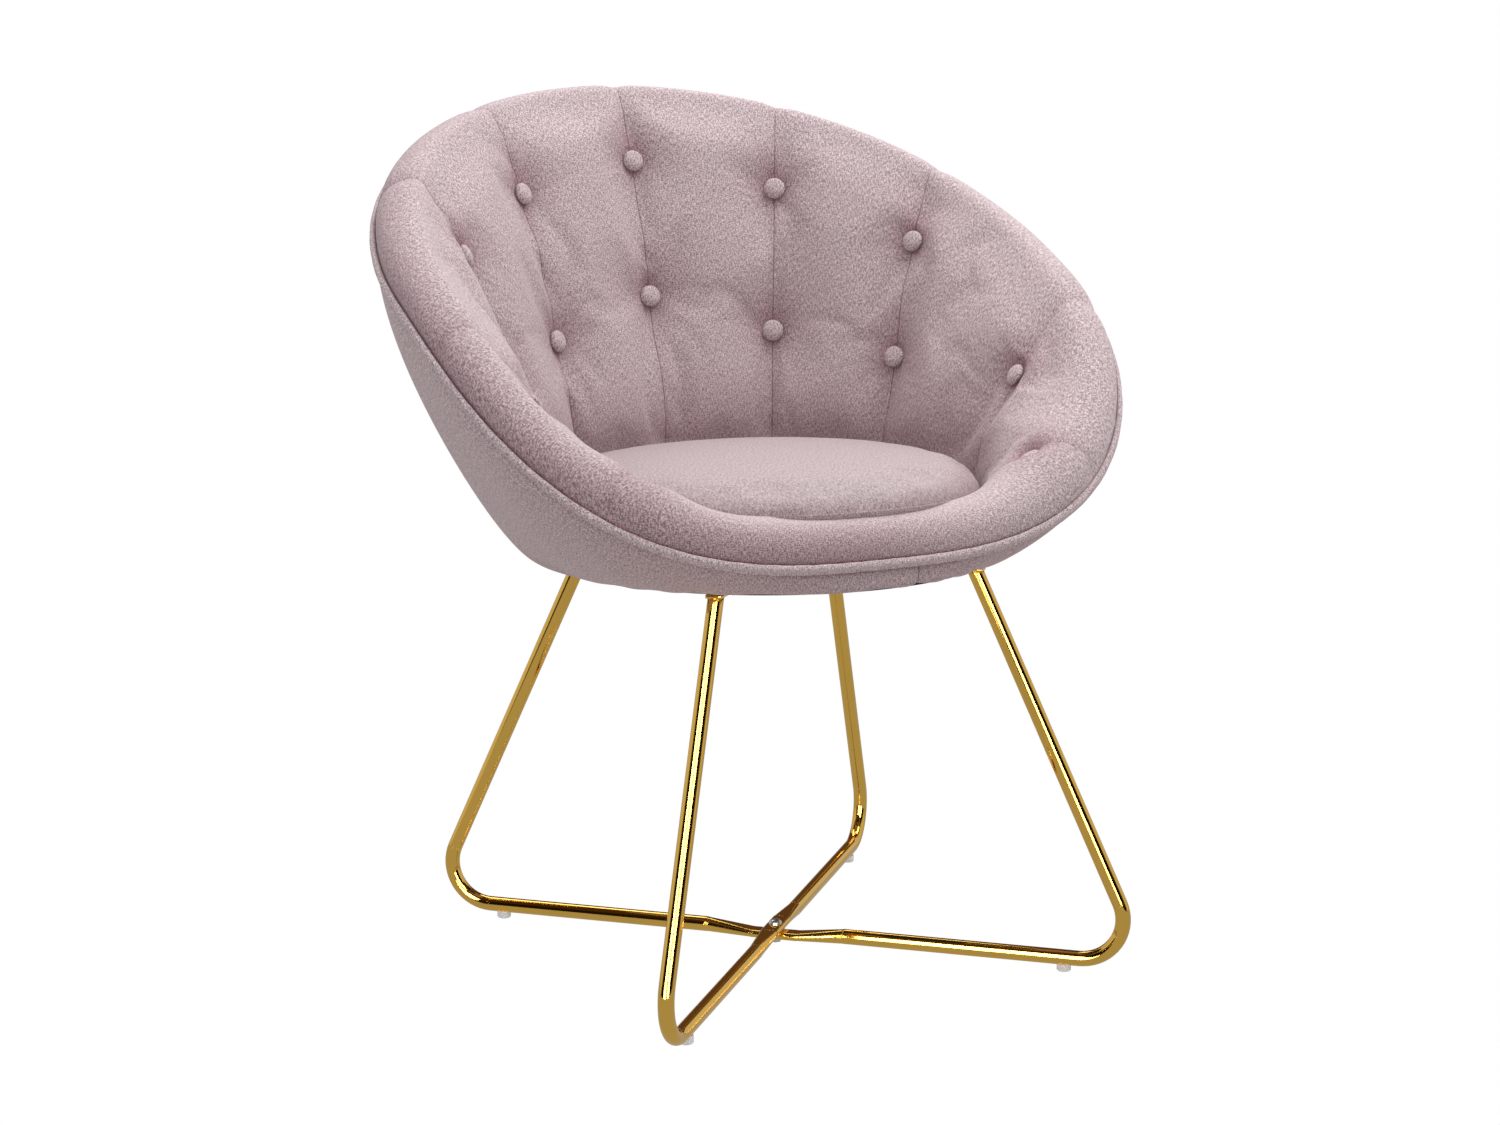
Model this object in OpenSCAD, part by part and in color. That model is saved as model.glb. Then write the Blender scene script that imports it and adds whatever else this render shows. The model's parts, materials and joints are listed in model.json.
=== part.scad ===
// Upholstered tub chair on two crossed U-frames of bent tube.
// Millimetres, +Z up, the sitter faces -Y. The floor is Z = 0.

/* [Tub] */
// Half of the width across the seam of the rim
rim_half_width = 340; // [328:1:352]
// From the widest point of the rim back to its rearmost point, seen from above
rim_depth_back = 308.5; // [296:0.5:320]
// From the widest point of the rim forward to its foremost point, seen from above
rim_depth_front = 242; // [238:1:250]
// Height that the rim seam's plane has straight above the tub's axis
rim_height = 594; // [586:1:602]
// Rise of the rim for each millimetre towards the back
rim_slope = 0.53; // [0.5:0.005:0.56]
// How far the rim curves down from that plane at the back
rim_droop = 12; // [6:1:18]
// How far the rim curves down from that plane in front of the tub's axis
rim_dip = 120; // [112:1:126]
// Height of the underside of the tub
tub_floor_z = 367; // [363:1:371]
// Radius of the flat part of the tub's underside
tub_floor_r = 208; // [204:1:210]

/* [Padding] */
// Height of the roll above the rim seam at the front
roll_rise_front = 34; // [28:1:40]
// Height of the roll above the rim seam at the back
roll_rise_back = 27; // [20:1:32]
// How far the crest of the roll lies inside the rim seam at the front
roll_inset_front = 28; // [25:1:32]
// How far the crest of the roll lies inside the rim seam at the back
roll_inset_back = 37; // [32:1:42]
// Radius of the well that holds the seat cushion
well_r = 192; // [191:0.5:194]
// Thickness of the woven covers
cover_t = 2; // [1.5:0.5:2.5]
// Diameter of the piping
piping_d = 6; // [5:0.5:7]
// Diameter of a tufting button
button_d = 22; // [18:1:24]

/* [Seat] */
// Thickness of the moulded tub wall
wall_t = 5; // [4:0.5:6]
// Radius of the seat board
board_r = 187; // [184:1:188]
// Thickness of the seat board
board_t = 18; // [15:1:20]
// Radius of the seat cushion
cushion_r = 190; // [187:0.5:190.5]
// Height of the crown of the seat cushion
cushion_top_z = 459; // [452:1:466]

/* [Legs] */
// Outer diameter of the leg tube
tube_d = 14; // [13:0.5:15]
// Wall of the leg tube
tube_wall = 1.2; // [1:0.1:1.5]
// Distance from the frame's centre to the corner that a bend rounds off
corner_r = 346.5; // [338:0.5:352]
// Lean of the legs from upright, in degrees
leg_lean = 24.7; // [23:0.1:26]
// Radius of the tube's centre line in a bend
bend_r = 39; // [34:1:44]
// Height of the glides under the tube
glide_h = 5.3; // [5:0.1:6.5]
// Distance from the frame's centre to each glide
glide_reach = 272; // [250:1:278]

/* [Hidden] */
$fn = 48;
fabric = "RosyBrown";
gold = "Goldenrod";

// Rim: half an ellipse behind the widest point and a squarer half superellipse in front of it.
rim_y = 33;               // the widest point lies this far behind the tub's axis
back_power = 1.9;
front_power = 2.9;
droop_from = 170;         // the rim starts to curve down this far behind the axis
dip_reach = 240;          // the distance ahead of the axis at which the dip is rim_dip
sections = 48;            // vertical sections round the tub
wall_steps = 7;           // points up the outside of a section
cap_steps = 4;            // points from the seam to the crest of the roll
lining_steps = 8;         // points from the crest down to the well
clear = 0.3;              // play between neighbouring layers
eps = 0.01;

// Stack under the seat, from the underside up
dust_t = 1;
flange_z = tub_floor_z + dust_t;          // the outer cover's turned-in edge
shell_z = flange_z + cover_t + clear;     // the wall shell's floor flange
board_low_z = flange_z;                   // the seat board's middle reaches down to here
board_rim_z = shell_z + wall_t + clear;   // and its rebated edge sits on the flange
board_top = board_low_z + board_t;
flange_r = 170;                           // inner radius of both flanges
rebate_r = flange_r - 1;
cushion_board_r = 98;
cushion_board_t = 6;
cushion_board_top = board_top + cushion_board_t;
seat_y = 8;                               // the well and its cushion lie this far behind the axis
well_z_front = 432;                       // top edge of the well at the front
well_z_rise = 14;                         // and how much higher it is at the back
well_base = board_top + 1;

function lerp(a, b, s) = a + (b - a) * s;
function bezier(p, s) =
    pow(1 - s, 3) * p[0] + 3 * s * pow(1 - s, 2) * p[1] + 3 * s * s * (1 - s) * p[2] + pow(s, 3) * p[3];
function signed_pow(v, p) = sign(v) * pow(abs(v), p);
function rim_z(y) = rim_height + rim_slope * y
    - rim_droop * pow(max(0, y - droop_from) / (rim_y + rim_depth_back - droop_from), 2)
    - rim_dip * pow(max(0, -y) / dip_reach, 2);
// Point of the rim seam at parameter t, in degrees, about the tub's axis
function seam(t) =
    let (back = sin(t) >= 0, p = 2 / (back ? back_power : front_power),
         y = rim_y + (back ? rim_depth_back : rim_depth_front) * signed_pow(sin(t), p))
    [rim_half_width * signed_pow(cos(t), p), y, rim_z(y)];
function seam_r(t) = let (s = seam(t)) norm([s[0], s[1]]);
function seam_z(t) = seam(t)[2];
function seam_bearing(t) = let (s = seam(t)) atan2(s[1], s[0]);
seam_low = rim_z(rim_y - rim_depth_front);
seam_high = rim_z(rim_y + rim_depth_back);
// 0 where the rim is lowest, at the front, to 1 at the back
function height_share(z) = max(0, min(1, (z - seam_low) / (seam_high - seam_low)));
function well_at(z) = well_r + seat_y * (2 * height_share(z) - 1);

// A section is a list of [radius, height] in a vertical half-plane through the tub's axis,
// for a seam at radius r and height z.
function wall_curve(r, z) =
    let (h = height_share(z), spread = 8 + 25 * min(1, 8 * h))
    [[tub_floor_r, flange_z], [tub_floor_r + spread, flange_z],
     [r + 15 * sqrt(h), lerp(flange_z, z, 0.79)], [r, z]];
function crest(r, z) =
    let (h = height_share(z))
    [r - lerp(roll_inset_front, roll_inset_back, pow(h, 1.5)), z + lerp(roll_rise_front, roll_rise_back, h)];
function cap_curve(r, z) =
    let (c = crest(r, z)) [[r, z], [r + 4, lerp(z, c[1], 0.7)], [lerp(c[0], r, 0.55), c[1]], c];
function lining_curve(r, z) =
    let (c = crest(r, z), h = height_share(z), b = [well_at(z), well_z_front + well_z_rise * h])
    [c, c - [22 + 8 * h, 2 * h], [lerp(b[0], c[0], 0.07), lerp(b[1], c[1], 0.1)], b];

function along(curve, steps, from, to) =
    [for (i = [0:steps]) bezier(curve, lerp(from, to, i / steps))];
function outside(r, z, to = 1) = along(wall_curve(r, z), wall_steps, 0, to);
// From the seam over the crest and down into the well
function inside(r, z, from = 0) = concat(
    along(cap_curve(r, z), cap_steps, from, 1),
    [for (i = [1:lining_steps]) bezier(lining_curve(r, z), i / lining_steps)],
    [[well_at(z), well_base]]);
// The path moved d millimetres to its left
function shifted(path, d) =
    [for (i = [0:len(path) - 1])
        let (a = path[max(0, i - 1)], b = path[min(len(path) - 1, i + 1)], t = (b - a) / norm(b - a))
        path[i] + d * [-t[1], t[0]]];
function reversed(path) = [for (i = [len(path) - 1:-1:0]) path[i]];
function band(path, d) = concat(path, reversed(shifted(path, d)));
// A section's points in space, at seam parameter t
function placed(path, t) =
    let (b = seam_bearing(t)) [for (p = path) [p[0] * cos(b), p[0] * sin(b), p[1]]];
section_angles = [for (i = [0:sections - 1]) 360 * i / sections];

// A closed ring through sections that all have the same number of points
module ring(loops) {
    n = len(loops[0]);
    m = len(loops);
    polyhedron(
        points = [for (u = loops, p = u) p],
        faces = [for (i = [0:m - 1], j = [0:n - 1])
            let (a = i * n + j, b = i * n + (j + 1) % n,
                 c = ((i + 1) % m) * n + (j + 1) % n, d = ((i + 1) % m) * n + j)
            each [[a, b, c], [a, c, d]]]);
}

// The whole chair is centred on the origin: the leg frames are foremost and the piping is rearmost.
outer_y = [for (t = section_angles) for (p = placed(outside(seam_r(t), seam_z(t)), t)) p[1]];
piping_out = piping_d + clear;            // the piping stands this far out from the seam
turn = 90 + leg_lean;                     // a bend turns the tube through this angle
tangent = bend_r * tan(turn / 2);
bend_x = corner_r - tangent;              // where the floor tube meets the bend
legs_shift = -23;                         // from the tub's axis to the centre of the leg frames
leg_out = (bend_x + bend_r) / sqrt(2) + tube_d / 2;   // a leg's reach forward of that centre
axis_y = (leg_out - legs_shift - max(concat(outer_y, [rim_y + rim_depth_back + piping_out]))) / 2;
legs_y = axis_y + legs_shift;
module at_axis() { translate([0, axis_y, 0]) children(); }
module at_seat() { translate([0, axis_y + seat_y, 0]) children(); }
module at_legs() { translate([0, legs_y, 0]) children(); }

// ---- Tub ----
module outer_cover() color(fabric) at_axis() difference() {
    ring([for (t = section_angles)
        placed(band(concat([[flange_r, flange_z]], outside(seam_r(t), seam_z(t))), cover_t), t)]);
    shell_screw_places() translate([0, 0, flange_z - 1])
        cylinder(d = shell_screw_d, h = cover_t + 2, $fn = 16);
}

module inner_cover() color(fabric) at_axis()
    ring([for (t = section_angles) placed(band(inside(seam_r(t), seam_z(t)), cover_t), t)]);

module rim_piping() color(fabric) at_axis() ring([for (t = section_angles)
    let (middle = [seam_r(t) + piping_out - piping_d / 2, seam_z(t) - 1])
    placed([for (k = [0:7]) middle + piping_d / 2 * [cos(45 * k), sin(45 * k)]], t)]);

module tub_padding() color("LightYellow") at_axis() difference() {
    ring([for (t = section_angles)
        let (r = seam_r(t), z = seam_z(t),
             skin = shifted(inside(r, z, 0.2), cover_t + clear),
             low = solve(function (x) bezier(wall_curve(r, z), x)[1] - well_base - 1, 0, 0.9),
             wall = shifted(along(wall_curve(r, z), wall_steps, low, 0.92), cover_t + wall_t + 2 * clear))
        placed(concat(skin, wall), t)]);
    for (b = BUTTONS) button_axis(b) translate([0, 0, -cord_len - 10])
        cylinder(d = cord_d + 1, h = cord_len + 20, $fn = 16);
}

module wall_shell() color("BurlyWood") at_axis() difference() {
    ring([for (t = section_angles)
        let (wall = shifted(outside(seam_r(t), seam_z(t), 0.94), cover_t + clear))
        placed(band(concat([[flange_r, shell_z]], wall), wall_t), t)]);
    shell_screw_places() translate([0, 0, shell_z - 1]) cylinder(d = shell_screw_d, h = wall_t + 2, $fn = 16);
}

// ---- Tufting ----
// The buttons sit on the lining of the tub: [bearing from the tub's axis, height]
column_bearing = [90, 59, 28.5, -8.5, -36];
upper_z = [716, 688, 638];
lower_z = [586, 550, 527];
arm_z = [521, 462];
button_h = 6;
cord_d = 2;
cord_len = 30;

// The value of x in [lo, hi] where f, which grows with x, is nearest 0
function solve(f, lo, hi, n = 24) =
    n == 0 ? (lo + hi) / 2 : let (mid = (lo + hi) / 2)
    f(mid) > 0 ? solve(f, lo, mid, n - 1) : solve(f, mid, hi, n - 1);
// [bearing, radius, height, tilt of the lining's normal above level] of a button
function seated(bearing, z, left = false) =
    let (t = solve(function (x) seam_bearing(x) - bearing, -90, 90),
         curve = lining_curve(seam_r(t), seam_z(t)),
         s = solve(function (x) z - bezier(curve, x)[1], 0, 1),
         p = bezier(curve, s), d = bezier(curve, s - 0.02) - p)
    [left ? 180 - bearing : bearing, p[0], z, atan2(d[0], d[1])];
BUTTONS = concat(
    [seated(column_bearing[0], upper_z[0]), seated(column_bearing[0], lower_z[0])],
    [for (i = [1, 2], z = [upper_z[i], lower_z[i]], left = [true, false])
        seated(column_bearing[i], z, left)],
    [for (i = [0, 1], left = [true, false]) seated(column_bearing[i + 3], arm_z[i], left)]);

// Puts +Z along a button's own axis, out of the padding, with the origin on the lining
module button_axis(b)
    rotate([0, 0, b[0]]) translate([b[1], 0, b[2]]) rotate([0, b[3] - 90, 0]) children();

module button(index) color(fabric) at_axis() button_axis(BUTTONS[index]) translate([0, 0, 0.6])
    rotate_extrude() polygon(concat(
        [[0, 0], [button_d * 0.36, 0], [button_d / 2, 1.6]],
        [for (a = [10:16:74]) [button_d / 2 * cos(a), 1.8 + (button_h - 1.8) * sin(a)]],
        [[0, button_h]]));

module tufting_cords() color("White") at_axis() for (b = BUTTONS)
    button_axis(b) translate([0, 0, -cord_len]) cylinder(d = cord_d, h = cord_len - cover_t - 1, $fn = 16);

// ---- Seat ----
plate_r = 136;            // middle of a mount plate, from the leg frames' centre
plate_l = 48;
plate_w = 42;
plate_t = 3;
tongue_w = 14;            // the tongue of a mount plate reaches out over its leg's top
tongue_to = 192.5;
plate_low_z = tub_floor_z - plate_t;
bolt_places = [-8, 10];   // bolts along the plate, from its middle
bolt_d = 6;
t_nut_barrel_d = 8.4;
corners = [[-1, -1], [1, -1], [-1, 1], [1, 1]];   // front left, front right, back left, back right
cushion_screw_r = 75;
cushion_screw_d = 4;
shell_screw_r = 178;
shell_screw_d = 3.4;
screw_head_d = 8;
screw_head_h = 2.4;

module each_mount_bolt() at_legs() for (c = corners, x = bolt_places)
    rotate([0, 0, atan2(c[1], c[0])]) translate([plate_r + x, 0, 0]) children();
module cushion_screw_places() for (a = [0:90:270])
    rotate([0, 0, a]) translate([cushion_screw_r, 0, 0]) children();
module shell_screw_places() for (a = [0:60:300])
    rotate([0, 0, a]) translate([shell_screw_r, 0, 0]) children();

module seat_board() color("BurlyWood") difference() {
    at_axis() union() {
        translate([0, 0, board_low_z]) cylinder(r = rebate_r, h = board_t, $fn = 96);
        translate([0, 0, board_rim_z]) cylinder(r = board_r, h = board_top - board_rim_z, $fn = 96);
    }
    each_mount_bolt() translate([0, 0, board_low_z - 1]) cylinder(d = t_nut_barrel_d + 0.2, h = board_t + 2);
    at_seat() cushion_screw_places() {
        translate([0, 0, board_low_z - 1]) cylinder(d = cushion_screw_d + 0.2, h = board_t + 2);
        translate([0, 0, board_low_z - 1]) cylinder(d = screw_head_d + 1, h = screw_head_h + 1.2);
    }
    at_axis() shell_screw_places()
        translate([0, 0, board_rim_z - 1]) cylinder(d = shell_screw_d, h = 8);
}

module screw(d, length) union() {
    cylinder(d1 = screw_head_d * 0.7, d2 = screw_head_d, h = screw_head_h * 0.4);
    translate([0, 0, screw_head_h * 0.4]) cylinder(d = screw_head_d, h = screw_head_h * 0.6);
    translate([0, 0, screw_head_h - eps]) cylinder(d = d, h = length);
}

module shell_screws() color("Silver") at_axis() shell_screw_places()
    translate([0, 0, flange_z + 0.1]) cylinder(d = shell_screw_d - 0.1, h = board_rim_z + 6 - flange_z);

module cushion_screws() color("Silver") at_seat() cushion_screw_places()
    translate([0, 0, board_low_z + 0.1]) screw(cushion_screw_d - 0.1, board_t - screw_head_h + 5);

module cushion_board() color("BurlyWood") at_seat() translate([0, 0, board_top]) difference() {
    cylinder(r = cushion_board_r, h = cushion_board_t, $fn = 96);
    cushion_screw_places() translate([0, 0, -1]) cylinder(d = cushion_screw_d, h = cushion_board_t + 2);
}

cushion_low_z = board_top + 2.4;          // the cushion hangs over the heads of the T-nuts
cushion_shoulder = 24;
// Outline of the cushion, d millimetres inside its cover, from the underside to the crown
function cushion_outline(d) =
    let (edge = cushion_r - d, low = cushion_low_z + d, high = cushion_top_z - d, side = 432)
    concat([for (a = [-90:18:0]) [edge - 8 + 8 * cos(a), low + 8 + 8 * sin(a)]],
           [for (a = [0:15:90])
               [edge - cushion_shoulder + (cushion_shoulder) * cos(a), lerp(side, high - 6, sin(a))]],
           [for (x = [0.8:-0.2:0]) [(edge - cushion_shoulder) * x, high - 6 * x * x]]);

module cushion_foam() color("LightYellow") at_seat() rotate_extrude($fn = 96) polygon(concat(
    [[0, cushion_board_top + clear], [cushion_board_r - 2, cushion_board_top + clear]],
    cushion_outline(cover_t + clear)));

module cushion_cover() color(fabric) at_seat() rotate_extrude($fn = 96) polygon(concat(
    [[cushion_board_r + 2, cushion_low_z]], cushion_outline(0),
    reversed(cushion_outline(cover_t)), [[cushion_board_r + 2, cushion_low_z + cover_t]]));

module dust_cover() color("Black") difference() {
    at_axis() translate([0, 0, tub_floor_z]) cylinder(r = tub_floor_r - 3, h = dust_t, $fn = 96);
    each_mount_bolt() translate([0, 0, tub_floor_z - 1]) cylinder(d = bolt_d + 0.4, h = dust_t + 2);
}

// ---- Mounting ----
module mount_plate(c) color(gold) at_legs() rotate([0, 0, atan2(c[1], c[0])]) difference() {
    translate([plate_r, 0, plate_low_z]) linear_extrude(plate_t) union() {
        translate([0, -tongue_w / 2]) square([tongue_to - plate_r, tongue_w]);
        square([plate_l - 12, plate_w], center = true);
        square([plate_l, plate_w - 12], center = true);
        for (x = [-1, 1], y = [-1, 1]) translate([x * (plate_l / 2 - 6), y * (plate_w / 2 - 6)]) circle(6);
    }
    for (x = bolt_places) translate([plate_r + x, 0, plate_low_z - 1])
        cylinder(d = bolt_d + 0.4, h = plate_t + 2);
}

washer_t = 1.2;
bolt_head_h = 4;
bolt_len = 29;
module mount_washers() color("Silver") each_mount_bolt() translate([0, 0, plate_low_z - washer_t])
    difference() {
        cylinder(d = 12, h = washer_t);
        translate([0, 0, -1]) cylinder(d = bolt_d + 0.3, h = washer_t + 2);
    }
module mount_bolts() color("Silver") each_mount_bolt()
    translate([0, 0, plate_low_z - washer_t - bolt_head_h]) union() {
        cylinder(d = 11, h = bolt_head_h, $fn = 6);
        cylinder(d = bolt_d, h = bolt_head_h + bolt_len - washer_t);
    }
t_nut_flange_t = 1.4;
module t_nuts() color("Silver") each_mount_bolt() translate([0, 0, board_top]) difference() {
    union() {
        translate([0, 0, -10]) cylinder(d = t_nut_barrel_d, h = 10);
        cylinder(d = 16, h = t_nut_flange_t);
    }
    translate([0, 0, -11]) cylinder(d = bolt_d + 0.1, h = 13);
}

// ---- Legs ----
tube_z = glide_h + tube_d / 2;            // height of the tube's centre line at the floor
tube_bore = tube_d - 2 * tube_wall;
flat_h = 6.9;                             // height of the pinched tube
flat_w = 18;                              // and its width
flat_half = 22;                           // half of the pinched length
taper_end = 66;                           // where the tube is round again
lap = 0.4;
hole_d = 6.4;

// Runs children() for both ends of a frame; X is along the frame and the leg stands at +X
module both_ends() for (a = [0, 180]) rotate([0, 0, a]) children();
// A round bar that follows one end of the frame, from the taper up past the leg's top. The bend is a
// hair thinner than the straights, which reach a little way over its ends.
module bar(d, extra) {
    start = taper_end - extra;
    translate([start, 0, tube_z]) rotate([0, 90, 0]) cylinder(d = d, h = bend_x - start + lap);
    translate([bend_x, 0, tube_z + bend_r]) rotate([90, 0, 0]) rotate([0, 0, -90])
        rotate_extrude(angle = turn) translate([bend_r, 0]) circle(d = d - 0.06);
    translate([bend_x, 0, tube_z + bend_r]) rotate([0, -leg_lean, 0])
        translate([bend_r, 0, -lap]) cylinder(d = d, h = 360);
}
module pinched_profile(w, h) union() {
    square([h, w - h], center = true);
    for (y = [-1, 1]) translate([0, y * (w - h) / 2]) circle(d = h);
}
// Solid of the pinched middle, its centre line moved up by lift
module pinched(w, h, d, lift) union() {
    translate([-flat_half, 0, tube_z + lift]) rotate([0, 90, 0])
        linear_extrude(2 * flat_half) pinched_profile(w, h);
    both_ends() hull() {
        translate([flat_half - 1, 0, tube_z + lift]) rotate([0, 90, 0])
            linear_extrude(eps) pinched_profile(w - 0.3, h - 0.3, $fn = 32);
        translate([taper_end + 1, 0, tube_z]) rotate([0, 90, 0]) cylinder(d = d - 0.3, h = eps, $fn = 32);
    }
}
// Frame along X. side is -1 for the frame whose pinch is pressed down, 1 for the one above it.
module leg_frame(side) difference() {
    union() {
        both_ends() bar(tube_d, 0);
        pinched(flat_w, flat_h, tube_d, side * (flat_h + 0.1) / 2);
    }
    both_ends() bar(tube_bore, 0.5);
    pinched(flat_w - 2 * tube_wall, flat_h - 2 * tube_wall, tube_bore, side * (flat_h + 0.1) / 2);
    translate([0, 0, tube_z - 10]) cylinder(d = hole_d, h = 20);
    both_ends() translate([glide_reach, 0, tube_z - tube_d]) cylinder(d = stem_d + 0.2, h = tube_d);
    translate([-400, -50, plate_low_z]) cube([800, 100, 200]);
}
// The lower frame runs from front right to back left, the upper one from front left to back right.
module leg_frame_lower() color(gold) at_legs() rotate([0, 0, -45]) leg_frame(-1);
module leg_frame_upper() color(gold) at_legs() rotate([0, 0, 45]) leg_frame(1);

cross_top = tube_z + flat_h + 0.05;
cross_low = tube_z - flat_h - 0.05;
head_d = 12.6;
head_h = 3.6;
nut_h = 3.4;
module cross_bolt() color("Silver") at_legs() difference() {
    union() {
        translate([0, 0, cross_top]) rotate_extrude() polygon(concat(
            [[0, 0], [head_d / 2, 0]],
            [for (a = [10:10:60]) [head_d / 2 * cos(a) + 0.1, head_h * sin(a) / sin(60)]],
            [[0, head_h]]));
        translate([0, 0, 1.2]) cylinder(d = bolt_d, h = cross_top - 1.2 + eps);
    }
    translate([0, 0, cross_top + head_h - 2]) cylinder(d = 4.6, h = 3, $fn = 6);
}
module cross_nut() color("Silver") at_legs() translate([0, 0, cross_low - nut_h]) difference() {
    cylinder(d = 11.5, h = nut_h, $fn = 6);
    translate([0, 0, -1]) cylinder(d = bolt_d + 0.1, h = nut_h + 2);
}

stem_d = 5;
glide_d = 13;
module glide(c) color("WhiteSmoke") at_legs() rotate([0, 0, atan2(c[1], c[0])]) union() {
    difference() {
        translate([glide_reach, 0, 0]) rotate_extrude() polygon([[0, 0], [glide_d / 2 - 1, 0],
            [glide_d / 2, 1], [glide_d / 2, glide_h + 1.6], [0, glide_h + 1.6]]);
        translate([glide_reach - 20, 0, tube_z]) rotate([0, 90, 0]) cylinder(d = tube_d, h = 40);
    }
    translate([glide_reach, 0, 1]) cylinder(d = stem_d, h = glide_h + 2.6);
}

outer_cover();
inner_cover();
rim_piping();
tub_padding();
wall_shell();
seat_board();
shell_screws();
tufting_cords();
button(0);  // button_upper_c
button(1);  // button_lower_c
button(2);  // button_upper_l1
button(3);  // button_upper_r1
button(4);  // button_lower_l1
button(5);  // button_lower_r1
button(6);  // button_upper_l2
button(7);  // button_upper_r2
button(8);  // button_lower_l2
button(9);  // button_lower_r2
button(10);  // button_arm_l3
button(11);  // button_arm_r3
button(12);  // button_arm_l4
button(13);  // button_arm_r4
cushion_board();
cushion_foam();
cushion_cover();
cushion_screws();
dust_cover();
mount_plate(corners[0]);  // mount_plate_fl
mount_plate(corners[1]);  // mount_plate_fr
mount_plate(corners[2]);  // mount_plate_bl
mount_plate(corners[3]);  // mount_plate_br
mount_bolts();
mount_washers();
t_nuts();
leg_frame_lower();
leg_frame_upper();
cross_bolt();
cross_nut();
glide(corners[0]);  // glide_fl
glide(corners[1]);  // glide_fr
glide(corners[2]);  // glide_bl
glide(corners[3]);  // glide_br
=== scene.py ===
import json
import math

import bpy
import numpy as np
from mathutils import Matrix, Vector


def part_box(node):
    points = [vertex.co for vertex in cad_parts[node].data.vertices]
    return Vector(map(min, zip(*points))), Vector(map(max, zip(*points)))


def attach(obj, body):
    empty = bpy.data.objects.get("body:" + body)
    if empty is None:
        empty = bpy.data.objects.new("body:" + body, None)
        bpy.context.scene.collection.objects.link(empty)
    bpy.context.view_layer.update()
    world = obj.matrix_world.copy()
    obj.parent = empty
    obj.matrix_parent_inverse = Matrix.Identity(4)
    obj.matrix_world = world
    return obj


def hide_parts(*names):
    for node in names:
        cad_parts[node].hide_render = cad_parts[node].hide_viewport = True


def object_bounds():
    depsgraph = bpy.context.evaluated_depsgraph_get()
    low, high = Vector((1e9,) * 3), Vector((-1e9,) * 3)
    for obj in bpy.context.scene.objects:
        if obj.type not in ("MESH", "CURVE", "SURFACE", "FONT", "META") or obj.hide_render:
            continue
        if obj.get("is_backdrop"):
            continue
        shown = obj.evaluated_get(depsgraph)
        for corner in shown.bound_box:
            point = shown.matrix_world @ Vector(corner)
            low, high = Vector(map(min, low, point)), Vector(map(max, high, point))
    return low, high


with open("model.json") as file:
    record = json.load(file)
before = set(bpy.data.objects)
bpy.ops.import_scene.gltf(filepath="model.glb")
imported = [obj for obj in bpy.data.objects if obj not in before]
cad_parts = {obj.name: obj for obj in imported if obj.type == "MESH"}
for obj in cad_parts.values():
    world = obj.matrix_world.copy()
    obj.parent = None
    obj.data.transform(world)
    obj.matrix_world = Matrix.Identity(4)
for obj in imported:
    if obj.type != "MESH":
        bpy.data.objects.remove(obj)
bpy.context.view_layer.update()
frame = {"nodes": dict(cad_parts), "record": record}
scene = bpy.context.scene

# ---------------------------------------------------------------- camera
camera = bpy.data.objects.new("camera", bpy.data.cameras.new("camera"))
scene.collection.objects.link(camera)
camera.location = (-1.1371, -2.1101, 0.7877)
camera.rotation_euler = (math.radians(79.67), 0, math.radians(-28.52))
camera.data.lens = 62.6
camera.data.sensor_width = 36
scene.camera = camera

# ---------------------------------------------------------------- the tub's own lines
# In metres and degrees. A bearing is 0 along +X and 90 along +Y, at the back.
low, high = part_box("cushion_cover")
CUSHION_Z, CUSHION_TOP = low.z, high.z
SEAT_Y = (low.y + high.y) / 2             # the middle of the seat cushion
AXIS_Y = SEAT_Y - 0.008                   # the tub's axis
RIM_HALF_WIDTH, RIM_BACK, RIM_FRONT, RIM_Y = 0.340, 0.3085, 0.242, 0.033
BACK_POWER, FRONT_POWER = 1.9, 2.9        # 2 is an ellipse, more is squarer
FLOOR_R, FLOOR_Z = 0.208, 0.368
WELL_R = 0.192
COLUMNS = [90, 59, 28.5, -8.5, -36, -144, -171.5, 151.5, 121]    # bearings of the lining's seams
UPPER, LOWER = [0.716, 0.688, 0.638], [0.586, 0.550, 0.527]      # heights of the back columns' buttons
ARM = [0.521, 0.462]                                             # and of the arm columns'


def lerp(a, b, s):
    return a + (b - a) * s


def smooth(a, b, x):
    s = np.clip((x - a) / (b - a), 0, 1)
    return s * s * (3 - 2 * s)


def signed_pow(v, p):
    return np.sign(v) * np.abs(v) ** p


def rim_z(y):
    """The rim seam's height: a slope that droops at the back and dips at the front."""
    droop_from, dip_reach = 0.170, 0.240
    droop = 0.012 * (np.maximum(0, y - droop_from) / (RIM_Y + RIM_BACK - droop_from)) ** 2
    dip = 0.120 * (np.maximum(0, -y) / dip_reach) ** 2
    return 0.594 + 0.53 * y - droop - dip


SEAM_LOW, SEAM_HIGH = rim_z(RIM_Y - RIM_FRONT), rim_z(RIM_Y + RIM_BACK)
seam_t = np.radians(np.linspace(-180, 180, 7201))
at_back = np.sin(seam_t) >= 0
seam_power = np.where(at_back, 2 / BACK_POWER, 2 / FRONT_POWER)
seam_x = RIM_HALF_WIDTH * signed_pow(np.cos(seam_t), seam_power)
seam_y = RIM_Y + np.where(at_back, RIM_BACK, RIM_FRONT) * signed_pow(np.sin(seam_t), seam_power)
SEAM_BEARING = np.degrees(np.unwrap(np.arctan2(seam_y, seam_x)))
SEAM_R, SEAM_Z = np.hypot(seam_x, seam_y), rim_z(seam_y)


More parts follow.
